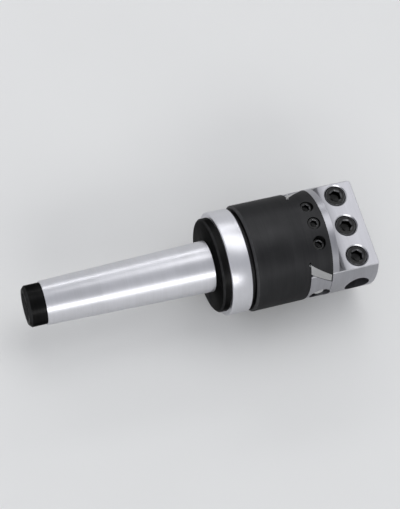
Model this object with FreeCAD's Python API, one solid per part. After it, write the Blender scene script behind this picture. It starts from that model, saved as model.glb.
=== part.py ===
import FreeCAD, Part
import math
import os

# Boring head with a taper shank: millimetres, +X along the spindle axis towards the working end,
# +Y the way the bar slide travels, +Z out of the flat that holds the bar clamp screws.
# The origin is on the axis at the gauge plane of the shank's taper.

# Taper shank
gauge_radius = 23.825 / 2
taper_per_mm = 1.0 / 19.922
gauge_to_collar = 5.0
shank_length = 81.0
tip_length = 8.0
tip_radius = 9.5
tip_chamfer = 1.2
drawbar_hole_radius = 5.1
drawbar_hole_depth = 30.0
drawbar_mouth_radius = 6.6

# Collar and threaded spigot of the shank
flange_width = 3.6
flange_radius = 22.0
flange_chamfer = 0.8
band_width = 9.8
band_radius = 24.25
spigot_radius = 19.05
spigot_length = 16.0

# Head body
head_radius = 25.0
body_length = 38.4
groove_width = 1.8
groove_radius = 22.0
body_top_chamfer = 1.0
spigot_end_room = 1.1
thread_fit = 0.05

# Dovetail slideway
slideway_wall = 13.0
dovetail_depth = 11.0
dovetail_angle = 60.0
dovetail_relief_radius = 0.7
slide_fit = 0.03
dovetail_root_gap = 0.4
dovetail_corner = 0.8
male_end_inset = 0.2

# Gib strip and its screws
gib_thickness = 3.5
gib_seat_gap = 0.02
gib_face_inset = 0.3
gib_root_gap = 0.5
gib_end_inset = 0.5
gib_screw_radius = 3.0
gib_screw_pitch = 9.2
gib_screw_from_joint = 5.2
gib_screw_socket = 3.0
gib_screw_recess = 0.2
gib_dog_radius = 2.0
gib_dimple_fit = 0.08
gib_dimple_wall = 1.1

# Bar slide
slide_length = 23.2
slide_chamfer = 0.6
rim_width = 3.0
rim_fillet = 4.0
flat_height = 13.0
flat_chamfer = 0.5
bar_bore_radius = 6.01
bar_bore_depth = 19.0
bar_bore_chamfer = 0.5
bar_pitch = 15.5
cross_bore_wall = 2.0

# Bar clamp screws
clamp_screw_radius = 5.0
clamp_screw_from_end = 9.3
clamp_screw_socket = 5.0
clamp_screw_recess = 0.25
clamp_screw_tip_gap = 0.25
clamp_mouth_chamfer = 0.5

# Feed screw with its dial and lock nuts
feed_screw_radius = 4.0
feed_from_joint = 4.2
feed_socket = 4.0
feed_socket_depth = 3.6
feed_front_wall = 4.6
feed_rear_wall = 4.0
feed_rear_radius = 2.5
feed_end_room = 0.5
feed_rear_end = 0.6
feed_rear_chamfer = 0.4
running_fit = 0.04
face_gap = 0.02
dial_radius = 7.2
dial_thickness = 6.2
dial_bevel = 1.6
dial_inset = 1.18
dial_pocket_gap = 0.2
dial_notch_gap = 0.8
lock_nut_flats = 8.0
lock_nut_height = 3.0
lock_nut_room = 0.38

# Feed nut and the cap screw that holds it
nut_length = 9.0
nut_half_width = 5.6
nut_below_screw = 5.4
nut_corner = 1.2
nut_pocket_gap = 0.3
nut_end_gap = 0.5
nut_stem_radius = 4.5
nut_stem_length = 5.0
cap_screw_radius = 2.0
cap_screw_length = 7.6
cap_head_radius = 3.5
cap_head_height = 4.0
cap_head_room = 0.5
cap_socket = 3.0
cap_web = 0.8
seat_fit = 0.02

# Screw that locks the shank's thread, with its pad
lock_screw_radius = 3.0
lock_screw_length = 4.0
lock_screw_socket = 3.0
lock_screw_from_seat = 9.0
pad_radius = 2.6
pad_length = 1.6

socket_depth_share = 0.55
cut_overshoot = 1.0

# Stations along the spindle axis
tip_x = -shank_length
ground_end_x = tip_x + tip_length
collar_x = gauge_to_collar
band_x = collar_x + flange_width
seat_x = band_x + band_width
body_x = seat_x + groove_width
spigot_end_x = seat_x + spigot_length
cavity_end_x = spigot_end_x + spigot_end_room
joint_x = seat_x + body_length
root_x = joint_x - dovetail_depth
slide_x = joint_x + slide_fit
end_x = joint_x + slide_length
flat_x = joint_x + rim_width
clamp_x = end_x - clamp_screw_from_end
bore_end_x = end_x - bar_bore_depth
gib_screw_x = joint_x - gib_screw_from_joint
feed_x = joint_x - feed_from_joint
lock_x = seat_x + lock_screw_from_seat

# Dovetail flanks: each leans away from the axis towards its root
dovetail_neck_half = head_radius - slideway_wall
lean = math.tan(math.radians(90.0 - dovetail_angle))
across = 1.0 / math.cos(math.radians(90.0 - dovetail_angle))
male_neck_high = dovetail_neck_half - (gib_seat_gap + gib_thickness + slide_fit) * across
feed_z = (male_neck_high - dovetail_neck_half) / 2.0

# Stations along the travel: the nut starts at one end of its pocket and ends at the other
dial_face_y = head_radius - dial_inset
dial_back_y = dial_face_y - dial_thickness
dial_floor_y = dial_back_y - face_gap
pocket_half = dial_floor_y - feed_front_wall
slide_travel = 2.0 * (pocket_half - nut_end_gap) - nut_length
nut_y = slide_travel / 2.0
rear_floor_y = -(pocket_half + feed_rear_wall)
lock_nut_y = rear_floor_y - face_gap
jam_nut_y = lock_nut_y - lock_nut_height - face_gap
feed_rear_y = jam_nut_y - lock_nut_height - feed_rear_end

X_AXIS = FreeCAD.Vector(1, 0, 0)
Y_AXIS = FreeCAD.Vector(0, 1, 0)
Z_AXIS = FreeCAD.Vector(0, 0, 1)
past = 2.0 * head_radius


def point(x, y, z):
    return FreeCAD.Vector(x, y, z)


def rod(radius, length, base, axis):
    return Part.makeCylinder(radius, length, base, axis)


def cone(radius_a, radius_b, length, base, axis):
    return Part.makeCone(radius_a, radius_b, length, base, axis)


def turned(outline):
    """Solid of revolution about the spindle axis from (x, radius) points."""
    corners = [point(x, 0, r) for x, r in outline]
    face = Part.Face(Part.makePolygon(corners + corners[:1]))
    return face.revolve(point(0, 0, 0), X_AXIS, 360)


def bar_along_y(outline, y_low, y_high):
    """Prism along the travel from (x, z) points."""
    corners = [point(x, y_low, z) for x, z in outline]
    face = Part.Face(Part.makePolygon(corners + corners[:1]))
    return face.extrude(Y_AXIS * (y_high - y_low))


def hexagon(across_flats, depth, base, axis):
    """Hexagonal prism centred on base, standing along axis."""
    corner = across_flats / math.sqrt(3.0)
    side = Z_AXIS if abs(axis.dot(Z_AXIS)) < 0.5 else X_AXIS
    other = axis.cross(side)
    corners = []
    for k in range(6):
        turn = math.radians(60.0 * k)
        corners.append(base + side * (corner * math.cos(turn)) + other * (corner * math.sin(turn)))
    face = Part.Face(Part.makePolygon(corners + corners[:1]))
    return face.extrude(axis * depth)


def chamfered_rod(radius, length, chamfer, base, axis):
    """Rod from base along axis, with a chamfer at its far end."""
    body = rod(radius, length - chamfer, base, axis)
    end = cone(radius, radius - chamfer, chamfer, base + axis * (length - chamfer), axis)
    return body.fuse(end).removeSplitter()


def grub_screw(radius, length, socket, base, axis):
    """Headless screw from its tip at base, with a hexagon socket in the other end."""
    depth = length * socket_depth_share
    return rod(radius, length, base, axis).cut(hexagon(socket, depth, base + axis * (length - depth), axis))


def surface_height(y):
    """Height of the round head above its axis, a distance y to the side."""
    return math.sqrt(head_radius ** 2 - y ** 2)


def flank(x):
    """Distance of the female flank from the middle plane at station x."""
    return dovetail_neck_half + (joint_x - x) * lean


def taper_radius(x):
    return gauge_radius + x * taper_per_mm / 2.0


gib_screw_places = [-gib_screw_pitch, 0.0, gib_screw_pitch]
gib_screw_nodes = ["gib_screw_front", "gib_lock_screw", "gib_screw_rear"]
clamp_screw_places = [-bar_pitch, 0.0, bar_pitch]
clamp_screw_nodes = ["clamp_screw_cross", "clamp_screw_center", "clamp_screw_offset"]
gib_inner_z = flank(gib_screw_x - gib_dog_radius) - (gib_seat_gap + gib_thickness) * across
gib_dimple_z = gib_inner_z + gib_dimple_wall
gib_shoulder_z = flank(gib_screw_x - gib_screw_radius) + gib_screw_recess


def taper_shank():
    """Tapered shank, collar and threaded spigot, turned from one bar."""
    outline = [
        (tip_x, 0.0),
        (tip_x, tip_radius - tip_chamfer),
        (tip_x + tip_chamfer, tip_radius),
        (ground_end_x, tip_radius),
        (ground_end_x, taper_radius(ground_end_x)),
        (collar_x, taper_radius(collar_x)),
        (collar_x, flange_radius - flange_chamfer),
        (collar_x + flange_chamfer, flange_radius),
        (band_x, flange_radius),
        (band_x, band_radius),
        (seat_x, band_radius),
        (seat_x, spigot_radius),
        (spigot_end_x, spigot_radius),
        (spigot_end_x, 0.0),
    ]
    mouth_depth = drawbar_mouth_radius - drawbar_hole_radius
    tip = point(tip_x, 0, 0)
    hole = rod(drawbar_hole_radius, drawbar_hole_depth, tip, X_AXIS)
    mouth = cone(drawbar_mouth_radius, drawbar_hole_radius, mouth_depth, tip, X_AXIS)
    return turned(outline).cut([hole, mouth])


def female_dovetail():
    """Space of the slideway in the body, with a relief groove along each root corner."""
    outline = [
        (joint_x + cut_overshoot, -flank(joint_x + cut_overshoot)),
        (joint_x + cut_overshoot, flank(joint_x + cut_overshoot)),
        (root_x, flank(root_x)),
        (root_x, -flank(root_x)),
    ]
    slot = bar_along_y(outline, -past, past)
    for side in (-1, 1):
        corner = point(root_x, -past, side * flank(root_x))
        slot = slot.fuse(rod(dovetail_relief_radius, 2.0 * past, corner, Y_AXIS))
    return slot


def head_body():
    """Round body: spigot thread above, dovetail slideway below."""
    outline = [
        (seat_x, 0.0),
        (seat_x, groove_radius),
        (body_x, groove_radius),
        (body_x, head_radius - body_top_chamfer),
        (body_x + body_top_chamfer, head_radius),
        (joint_x, head_radius),
        (joint_x, 0.0),
    ]
    cavity = rod(spigot_radius + thread_fit, cavity_end_x - seat_x, point(seat_x, 0, 0), X_AXIS)
    cuts = [cavity, female_dovetail()]
    for y in gib_screw_places:
        cuts.append(rod(gib_screw_radius + thread_fit, past, point(gib_screw_x, y, 0), Z_AXIS))
    cuts.append(rod(lock_screw_radius + thread_fit, past, point(lock_x, 0, 0), Y_AXIS))
    notch_y = dial_floor_y - dial_notch_gap
    cuts.append(rod(dial_radius + dial_notch_gap, past, point(feed_x, notch_y, feed_z), Y_AXIS))
    stem_x = root_x - nut_stem_length
    stem_base = point(stem_x, nut_y, feed_z)
    head_base = point(cavity_end_x, nut_y, feed_z)
    cuts.append(rod(nut_stem_radius + seat_fit, nut_stem_length, stem_base, X_AXIS))
    cuts.append(rod(cap_screw_radius + seat_fit, stem_x - cavity_end_x, head_base, X_AXIS))
    cuts.append(rod(cap_head_radius + cap_head_room, stem_x - cap_web - cavity_end_x, head_base, X_AXIS))
    return turned(outline).cut(cuts).removeSplitter()


def gib_strip():
    """Flat gib between the female flank and the slide, with a dimple under each screw."""
    inner = gib_thickness * across
    face_x = joint_x - gib_face_inset
    deep_x = root_x + gib_root_gap
    seat = gib_seat_gap * across
    outline = [
        (face_x, flank(face_x) - seat),
        (deep_x, flank(deep_x) - seat),
        (deep_x, flank(deep_x) - seat - inner),
        (face_x, flank(face_x) - seat - inner),
    ]
    strip = bar_along_y(outline, -past, past)
    strip = strip.common(rod(head_radius - gib_end_inset, past, point(root_x, 0, 0), X_AXIS))
    dimples = []
    for y in gib_screw_places:
        floor = point(gib_screw_x, y, gib_dimple_z)
        dimples.append(rod(gib_dog_radius + gib_dimple_fit, past, floor, Z_AXIS))
    return strip.cut(dimples)


def gib_screw(y):
    """Grub screw with a dog point that stands in the gib's dimple."""
    head_z = surface_height(abs(y) + gib_screw_radius) - gib_screw_recess
    screw = grub_screw(gib_screw_radius, head_z - gib_shoulder_z, gib_screw_socket,
                       point(gib_screw_x, y, gib_shoulder_z), Z_AXIS)
    dog_z = gib_dimple_z + face_gap
    dog = rod(gib_dog_radius, gib_shoulder_z - dog_z, point(gib_screw_x, y, dog_z), Z_AXIS)
    return screw.fuse(dog).removeSplitter()


def male_dovetail():
    """Tongue of the slide: one flank on the body, the other on the gib."""
    top_x = root_x + dovetail_root_gap
    shoulder_x = top_x + dovetail_corner
    low_gap = slide_fit * across
    high_gap = dovetail_neck_half - male_neck_high
    outline = [
        (slide_x + cut_overshoot, -flank(slide_x + cut_overshoot) + low_gap),
        (shoulder_x, -flank(shoulder_x) + low_gap),
        (top_x, -flank(shoulder_x) + low_gap + dovetail_corner),
        (top_x, flank(shoulder_x) - high_gap - dovetail_corner),
        (shoulder_x, flank(shoulder_x) - high_gap),
        (slide_x + cut_overshoot, flank(slide_x + cut_overshoot) - high_gap),
    ]
    tongue = bar_along_y(outline, -past, past)
    return tongue.common(rod(head_radius - male_end_inset, past, point(top_x, 0, 0), X_AXIS))


def nut_outline(gap):
    """Section of the feed nut's block, grown by gap below and at its sides."""
    half = nut_half_width + gap
    low_x = feed_x + nut_below_screw + gap
    return [
        (root_x, feed_z - half),
        (root_x, feed_z + half),
        (low_x - nut_corner, feed_z + half),
        (low_x, feed_z + half - nut_corner),
        (low_x, feed_z - half + nut_corner),
        (low_x - nut_corner, feed_z - half),
    ]


def clamp_flat():
    """Space above the clamp screw flat, with a round corner against the rim."""
    top = past
    corner_z = flat_height + rim_fillet
    turn = rim_fillet * (1.0 - math.sqrt(0.5))
    a = point(flat_x, -past, top)
    b = point(flat_x, -past, corner_z)
    middle = point(flat_x + turn, -past, flat_height + turn)
    c = point(flat_x + rim_fillet, -past, flat_height)
    d = point(end_x - flat_chamfer, -past, flat_height)
    e = point(end_x + cut_overshoot, -past, flat_height - flat_chamfer - cut_overshoot)
    f = point(end_x + cut_overshoot, -past, top)
    edges = [Part.makeLine(a, b), Part.Arc(b, middle, c).toShape(), Part.makeLine(c, d)]
    edges += [Part.makeLine(d, e), Part.makeLine(e, f), Part.makeLine(f, a)]
    return Part.Face(Part.Wire(edges)).extrude(Y_AXIS * 2.0 * past)


def bar_bores():
    """Bores for the bars: two in the end face, and one across that stops short of the centre bore."""
    bores = []
    mouth = bar_bore_radius + bar_bore_chamfer
    cross_end_y = -(bar_bore_radius + cross_bore_wall)
    for y in (0.0, bar_pitch):
        bores.append(rod(bar_bore_radius, bar_bore_depth, point(bore_end_x, y, 0), X_AXIS))
        bores.append(cone(mouth, bar_bore_radius, bar_bore_chamfer, point(end_x, y, 0), -X_AXIS))
    bores.append(rod(bar_bore_radius, past, point(clamp_x, cross_end_y, 0), -Y_AXIS))
    return bores


def clamp_holes():
    """Threaded holes of the clamp screws, each with a chamfered mouth."""
    holes = []
    radius = clamp_screw_radius + thread_fit
    mouth = radius + clamp_mouth_chamfer
    for y in clamp_screw_places:
        holes.append(rod(radius, flat_height, point(clamp_x, y, 0), Z_AXIS))
        holes.append(cone(mouth, radius, clamp_mouth_chamfer, point(clamp_x, y, flat_height), -Z_AXIS))
    return holes


def feed_spaces():
    """Spaces for the feed screw, its nut, its dial and its lock nuts in the slide."""
    axis = point(feed_x, 0, feed_z)
    pocket = bar_along_y(nut_outline(nut_pocket_gap), -pocket_half, pocket_half)
    front = rod(feed_screw_radius + running_fit, dial_floor_y, axis, Y_AXIS)
    dial = rod(dial_radius + dial_pocket_gap, past, axis + Y_AXIS * dial_floor_y, Y_AXIS)
    rear = rod(feed_rear_radius + running_fit, -rear_floor_y, axis, -Y_AXIS)
    nut_room = lock_nut_flats / math.sqrt(3.0) + lock_nut_room
    nuts = rod(nut_room, past, axis + Y_AXIS * rear_floor_y, -Y_AXIS)
    return [pocket, front, dial, rear, nuts]


def bar_slide():
    """Slide that carries the bars: round holder with a clamp flat, on a dovetail tongue."""
    outline = [
        (slide_x, 0.0),
        (slide_x, head_radius),
        (end_x - slide_chamfer, head_radius),
        (end_x, head_radius - slide_chamfer),
        (end_x, 0.0),
    ]
    holder = turned(outline).cut(clamp_flat())
    slide = holder.fuse(male_dovetail())
    return slide.cut(bar_bores() + clamp_holes() + feed_spaces()).removeSplitter()


def clamp_screw(y):
    tip_z = bar_bore_radius + clamp_screw_tip_gap
    length = flat_height - clamp_screw_recess - tip_z
    return grub_screw(clamp_screw_radius, length, clamp_screw_socket, point(clamp_x, y, tip_z), Z_AXIS)


def feed_screw():
    """Feed screw turned in one piece with its bevelled dial: threaded middle and a thinner rear end."""
    shoulder_y = feed_end_room - pocket_half
    rear = chamfered_rod(feed_rear_radius, shoulder_y - feed_rear_y, feed_rear_chamfer,
                         point(feed_x, shoulder_y, feed_z), -Y_AXIS)
    middle = rod(feed_screw_radius, dial_back_y - shoulder_y, point(feed_x, shoulder_y, feed_z), Y_AXIS)
    dial = chamfered_rod(dial_radius, dial_thickness, dial_bevel, point(feed_x, dial_back_y, feed_z), Y_AXIS)
    socket_base = point(feed_x, dial_face_y - feed_socket_depth, feed_z)
    socket = hexagon(feed_socket, feed_socket_depth, socket_base, Y_AXIS)
    return rear.fuse([middle, dial]).cut(socket).removeSplitter()


def thin_nut(y):
    """Thin hexagon nut on the rear end of the feed screw, its near face at y."""
    base = point(feed_x, y, feed_z)
    blank = hexagon(lock_nut_flats, lock_nut_height, base, -Y_AXIS)
    return blank.cut(rod(feed_rear_radius + seat_fit, lock_nut_height, base, -Y_AXIS))


def feed_nut():
    """Bronze nut: a block around the feed screw, on a round stem let into the body."""
    low_y = nut_y - nut_length / 2.0
    stem_base = point(root_x - nut_stem_length, nut_y, feed_z)
    block = bar_along_y(nut_outline(0.0), low_y, low_y + nut_length)
    stem = rod(nut_stem_radius, nut_stem_length, stem_base, X_AXIS)
    bore = rod(feed_screw_radius + running_fit, nut_length, point(feed_x, low_y, feed_z), Y_AXIS)
    tapped = rod(cap_screw_radius + seat_fit, cap_screw_length - cap_web, stem_base, X_AXIS)
    return block.fuse(stem).cut([bore, tapped]).removeSplitter()


def nut_cap_screw():
    """Cap screw that draws the feed nut's stem into the body from the spigot side."""
    seat = point(root_x - nut_stem_length - cap_web, nut_y, feed_z)
    head = rod(cap_head_radius, cap_head_height, seat - X_AXIS * cap_head_height, X_AXIS)
    shank = rod(cap_screw_radius, cap_screw_length, seat, X_AXIS)
    depth = cap_head_height * socket_depth_share
    socket = hexagon(cap_socket, depth, seat - X_AXIS * cap_head_height, X_AXIS)
    return head.fuse(shank).cut(socket)


def shank_lock_screw():
    base = point(lock_x, spigot_radius + thread_fit + pad_length + face_gap, 0)
    return grub_screw(lock_screw_radius, lock_screw_length, lock_screw_socket, base, Y_AXIS)


def thread_pad():
    """Soft pad between the lock screw and the spigot's thread."""
    return rod(pad_radius, pad_length, point(lock_x, spigot_radius + thread_fit, 0), Y_AXIS)


def pieces():
    """Every piece of the head by the name of its node."""
    made = {
        "taper_shank": taper_shank(),
        "head_body": head_body(),
        "bar_slide": bar_slide(),
        "gib_strip": gib_strip(),
        "feed_screw": feed_screw(),
        "lock_nut": thin_nut(lock_nut_y),
        "jam_nut": thin_nut(jam_nut_y),
        "feed_nut": feed_nut(),
        "nut_cap_screw": nut_cap_screw(),
        "shank_lock_screw": shank_lock_screw(),
        "thread_pad": thread_pad(),
    }
    for node, y in zip(gib_screw_nodes, gib_screw_places):
        made[node] = gib_screw(y)
    for node, y in zip(clamp_screw_nodes, clamp_screw_places):
        made[node] = clamp_screw(y)
    return made


os.makedirs("parts", exist_ok=True)
for name, shape in pieces().items():
    solids = shape.Solids
    whole = solids[0] if len(solids) == 1 else Part.makeCompound(solids)
    whole.exportStep("parts/" + name + ".step")
    print(name, "solids", len(solids), "valid", shape.isValid(), "volume", round(shape.Volume, 1))
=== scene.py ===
"""Looks of an adjustable boring head: finishes, screw threads, dial marks, floor, light and camera.

In the frame, x runs along the spindle to the working end, y along the slide's travel, and z out of the
clamp flat. The origin is on the spindle's axis, at the gauge plane of the taper.
"""

import logging
import math
from collections.abc import Callable, Sequence
from dataclasses import dataclass, field
from enum import Enum

import bmesh
import bpy
from mathutils import Euler, Matrix, Vector


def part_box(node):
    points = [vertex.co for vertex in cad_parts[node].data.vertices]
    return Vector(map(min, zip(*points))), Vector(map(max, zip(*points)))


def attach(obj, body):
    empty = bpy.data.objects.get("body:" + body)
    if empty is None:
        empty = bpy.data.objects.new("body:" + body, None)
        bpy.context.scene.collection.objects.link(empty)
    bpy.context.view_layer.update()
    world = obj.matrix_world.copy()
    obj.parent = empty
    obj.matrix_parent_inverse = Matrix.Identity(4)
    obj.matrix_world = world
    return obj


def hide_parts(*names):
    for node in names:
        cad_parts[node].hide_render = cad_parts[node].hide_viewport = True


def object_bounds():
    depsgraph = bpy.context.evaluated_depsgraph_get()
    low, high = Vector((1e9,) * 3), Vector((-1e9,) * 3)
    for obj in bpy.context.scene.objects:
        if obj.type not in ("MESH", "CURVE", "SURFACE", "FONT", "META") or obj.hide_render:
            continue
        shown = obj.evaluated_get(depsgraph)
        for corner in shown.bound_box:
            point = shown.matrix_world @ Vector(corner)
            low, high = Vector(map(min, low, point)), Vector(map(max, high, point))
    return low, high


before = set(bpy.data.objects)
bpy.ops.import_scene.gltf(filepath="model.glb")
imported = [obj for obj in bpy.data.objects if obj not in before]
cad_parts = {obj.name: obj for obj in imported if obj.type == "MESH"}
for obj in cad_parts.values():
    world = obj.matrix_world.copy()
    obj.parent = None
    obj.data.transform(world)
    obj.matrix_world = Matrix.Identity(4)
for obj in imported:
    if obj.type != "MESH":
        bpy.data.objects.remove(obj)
cad_low, cad_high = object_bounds()

MM = 0.001
TURN = 2.0 * math.pi
SHARP_ANGLE = math.radians(32.0)

Colour = tuple[float, float, float, float]
Socket = bpy.types.NodeSocket
Source = Socket | float | Colour
Profile = Callable[[float], float]
# Colour, roughness and bump height of a finish
Look = tuple[Socket, Socket, Socket]


class Axis(Enum):
    """Axis of the frame that a piece stands along: the frame's rows that its own x, y and z go to."""

    X = (1, 2, 0)
    Y = (2, 0, 1)
    Z = (0, 1, 2)

    def turn(self) -> Matrix:
        """Rotation that lays the piece's own z axis along this one."""
        columns = [Vector([float(row == other) for other in range(3)]) for row in self.value]
        return Matrix(columns).transposed().to_4x4()


def grey(value: float, blue: float = 0.0) -> Colour:
    """Linear grey, a little towards blue where blue is over zero."""
    return (value, value, value * (1.0 + blue), 1.0)


@dataclass
class Sheet:
    """A node tree while its nodes are laid out and joined."""

    tree: bpy.types.NodeTree

    def feed(self, socket: Socket, source: Source) -> None:
        """Joins source to a socket, or sets it there.

        Args:
            socket: an input of a node in the tree.
            source: another node's output, or a plain value.
        """
        if isinstance(source, Socket):
            self.tree.links.new(source, socket)
        else:
            socket.default_value = source

    def add(self, kind: str, feeds: dict[int | str, Source], **settings: object) -> bpy.types.Node:
        """Adds a node.

        Args:
            kind: Blender's name of the node's type.
            feeds: what goes into each of its inputs.
            settings: properties to set on it.

        Returns:
            The new node.
        """
        node = self.tree.nodes.new(kind)
        for name, value in settings.items():
            setattr(node, name, value)
        for key, source in feeds.items():
            self.feed(node.inputs[key], source)
        return node

    def calculate(self, operation: str, a: Source, b: Source = 0.0) -> Socket:
        """Result of a math node on a and b."""
        return self.add("ShaderNodeMath", {0: a, 1: b}, operation=operation).outputs[0]

    def add_up(self, a: Source, b: Source) -> Socket:
        """Sum of a and b."""
        return self.calculate("ADD", a, b)

    def times(self, a: Source, b: Source) -> Socket:
        """Product of a and b."""
        return self.calculate("MULTIPLY", a, b)

    def above(self, value: Source, limit: float) -> Socket:
        """1 where value is above the limit, and 0 elsewhere."""
        return self.calculate("GREATER_THAN", value, limit)

    def below(self, value: Source, limit: float) -> Socket:
        """1 where value is below the limit, and 0 elsewhere."""
        return self.calculate("LESS_THAN", value, limit)

    def remap(self, value: Source, span: tuple[float, float],
              ends: tuple[float, float] = (0.0, 1.0)) -> Socket:
        """Value mapped smoothly from span to ends, and held there."""
        feeds = dict(enumerate((value, *span, *ends)))
        return self.add("ShaderNodeMapRange", feeds, interpolation_type="SMOOTHSTEP").outputs[0]

    def mix(self, factor: Source, a: Source, b: Source) -> Socket:
        """Colour between a and b."""
        return self.add("ShaderNodeMix", {0: factor, 6: a, 7: b}, data_type="RGBA").outputs[2]

    def blend(self, factor: Source, a: Source, b: Source) -> Socket:
        """Number between a and b."""
        return self.add("ShaderNodeMix", {0: factor, 2: a, 3: b}, data_type="FLOAT").outputs[0]

    def split(self, vector: Socket) -> list[Socket]:
        """The three parts of a vector."""
        return list(self.add("ShaderNodeSeparateXYZ", {0: vector}).outputs)

    def join(self, *parts: Source) -> Socket:
        """Vector from three parts."""
        return self.add("ShaderNodeCombineXYZ", dict(enumerate(parts))).outputs[0]

    def distance(self, a: Source, b: Source) -> Socket:
        """Length of the flat vector (a, b)."""
        return self.calculate("SQRT", self.add_up(self.times(a, a), self.times(b, b)))

    def noise(self, vector: Socket, scale: Source, detail: float, roughness: float = 0.55) -> Socket:
        """Noise value over the vector."""
        feeds = {"Vector": vector, "Scale": scale, "Detail": detail, "Roughness": roughness}
        return self.add("ShaderNodeTexNoise", feeds).outputs["Fac"]

    def call(self, group: bpy.types.NodeTree, **inputs: Source) -> dict[str, Socket]:
        """Places a shared group and gives its outputs by name."""
        outputs = self.add("ShaderNodeGroup", inputs, node_tree=group).outputs
        return {socket.name: socket for socket in outputs}

    def coordinates(self, name: str, axis: Axis) -> list[Socket]:
        """Parts of a texture coordinate, with the axis last."""
        parts = self.split(self.add("ShaderNodeTexCoord", {}).outputs[name])
        return [parts[row] for row in axis.value]

    def slope(self, axis: Axis) -> Socket:
        """How squarely the surface faces along the axis, from 0 on its side to 1 on its end."""
        return self.calculate("ABSOLUTE", self.coordinates("Normal", axis)[2])


@dataclass
class GroupSheet(Sheet):
    """The tree of a shared group, while it is laid out."""

    @classmethod
    def start(cls, name: str, inputs: dict[str, tuple[str, object]],
              outputs: dict[str, str]) -> "GroupSheet":
        """Starts a group.

        Args:
            name: name of the group.
            inputs: type and default of each input; a default of None is left alone.
            outputs: type of each output.

        Returns:
            The sheet of the new group.
        """
        tree = bpy.data.node_groups.new(name, "ShaderNodeTree")
        for label, (kind, default) in inputs.items():
            socket = tree.interface.new_socket(name=label, in_out="INPUT", socket_type=f"NodeSocket{kind}")
            if default is not None:
                socket.default_value = default
        for label, kind in outputs.items():
            tree.interface.new_socket(name=label, in_out="OUTPUT", socket_type=f"NodeSocket{kind}")
        tree.nodes.new("NodeGroupInput")
        tree.nodes.new("NodeGroupOutput")
        return cls(tree)

    def given(self, name: str) -> Socket:
        """Socket that carries an input of the group."""
        return self.tree.nodes["Group Input"].outputs[name]

    def close(self, **results: Source) -> bpy.types.NodeTree:
        """Joins the group's outputs.

        Args:
            results: what each output carries.

        Returns:
            The group's tree.
        """
        for name, source in results.items():
            self.feed(self.tree.nodes["Group Output"].inputs[name], source)
        return self.tree


def marks_group(name: str, turned: bool) -> bpy.types.NodeTree:
    """Fine lines and broad streaks that a machine leaves across the last part of Vector.

    Args:
        name: name of the group.
        turned: True for rings that also run over end faces, and False for straight lines.

    Returns:
        The group, with outputs Line and Streak from 0 to 1.
    """
    # Changes to a metre along a line, and streaks to a line across them
    changes_along = 45.0
    streaks_per_line = 0.07
    sheet = GroupSheet.start(name, {"Vector": ("Vector", None), "Pitch": ("Float", 4000.0)},
                             {"Line": "Float", "Streak": "Float"})
    x, y, z = sheet.split(sheet.given("Vector"))
    across = sheet.add_up(z, sheet.distance(x, y)) if turned else z
    lines = sheet.times(across, sheet.given("Pitch"))
    streaks = sheet.times(lines, streaks_per_line)
    side_x = sheet.times(x, changes_along)
    side_y = sheet.times(y, changes_along)
    line = sheet.noise(sheet.join(side_x, side_y, lines), scale=1.0, detail=2.0)
    streak = sheet.noise(sheet.join(side_x, side_y, streaks), scale=1.0, detail=3.0)
    return sheet.close(Line=sheet.remap(line, span=(0.25, 0.75)),
                       Streak=sheet.remap(streak, span=(0.3, 0.7)))


def handling_group() -> bpy.types.NodeTree:
    """Soft smudges of oil and handling, and small specks.

    Returns:
        The group, with outputs Smudge and Speck from 0 to 1.
    """
    specks_per_smudge = 18.0
    sheet = GroupSheet.start("handling", {"Vector": ("Vector", None), "Spread": ("Float", 90.0)},
                             {"Smudge": "Float", "Speck": "Float"})
    place = sheet.given("Vector")
    spread = sheet.given("Spread")
    smudge = sheet.noise(place, scale=spread, detail=4.0)
    speck = sheet.noise(place, scale=sheet.times(spread, specks_per_smudge), detail=2.0)
    return sheet.close(Smudge=sheet.remap(smudge, span=(0.32, 0.68)),
                       Speck=sheet.remap(speck, span=(0.62, 0.74)))


def wear_group() -> bpy.types.NodeTree:
    """Mask of chamfers and round corners, where handling rubs a finish bright.

    Returns:
        The group, with output Mask from 0 to 1.
    """
    sheet = GroupSheet.start("chamfer_wear", {"Vector": ("Vector", None), "Slope": ("Float", 0.0),
                                              "Amount": ("Float", 1.0)}, {"Mask": "Float"})
    # A chamfer slopes more than a side, whose slope is 0, and less than an end face, whose slope is 1
    rising = sheet.remap(sheet.given("Slope"), span=(0.12, 0.4))
    falling = sheet.remap(sheet.given("Slope"), span=(0.86, 0.97), ends=(1.0, 0.0))
    patches = sheet.noise(sheet.given("Vector"), scale=400.0, detail=3.0)
    broken = sheet.remap(patches, span=(0.3, 0.6), ends=(0.65, 1.0))
    mask = sheet.times(sheet.times(rising, falling), broken)
    return sheet.close(Mask=sheet.times(mask, sheet.given("Amount")))


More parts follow.
